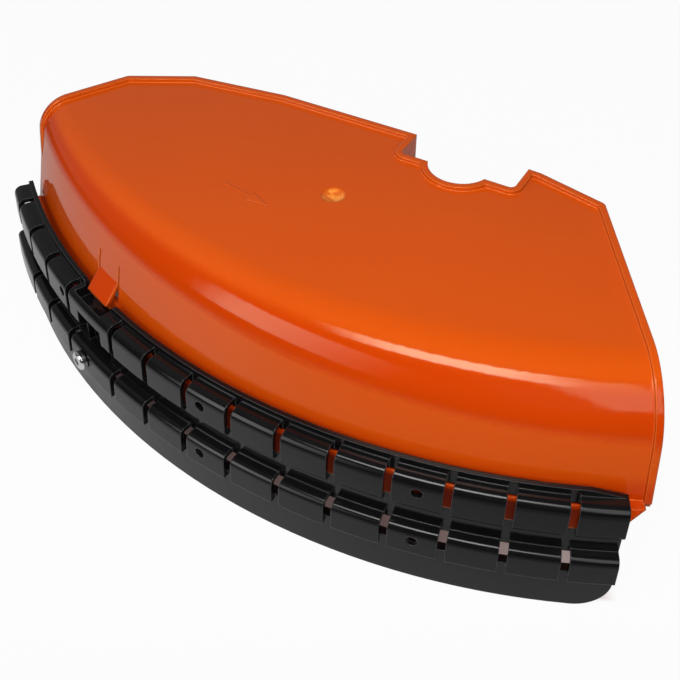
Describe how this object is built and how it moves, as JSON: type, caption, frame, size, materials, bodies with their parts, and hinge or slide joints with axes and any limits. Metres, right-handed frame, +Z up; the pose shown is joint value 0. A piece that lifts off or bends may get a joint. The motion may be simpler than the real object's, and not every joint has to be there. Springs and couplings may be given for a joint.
{
  "type": "trimmer blade guard",
  "caption": "Moulded deflector hood for a grass trimmer's cutting head, with a slotted clip-on skirt that carries a steel line cutter, bolted to the gear head at its rear recess.",
  "frame": {"origin": "midway between the two screw holes in the rear recess, on the wall face that meets the gear head's bracket", "axes": "X across the guard to its right end, Y to the rear toward the operator, Z up through the top plate"},
  "size_m": [0.3951, 0.1837, 0.1203],
  "materials": {
    "hood_plastic": "gloss moulded",
    "skirt_plastic": "gloss moulded",
    "cutter_steel": "ground",
    "plated_steel": "bright plated"
  },
  "bodies": {
    "root": {"hood": "hood_plastic", "skirt": "skirt_plastic", "line_cutter": "cutter_steel", "cutter_screw": "plated_steel", "cutter_nut": "plated_steel"}
  },
  "joints": []
}
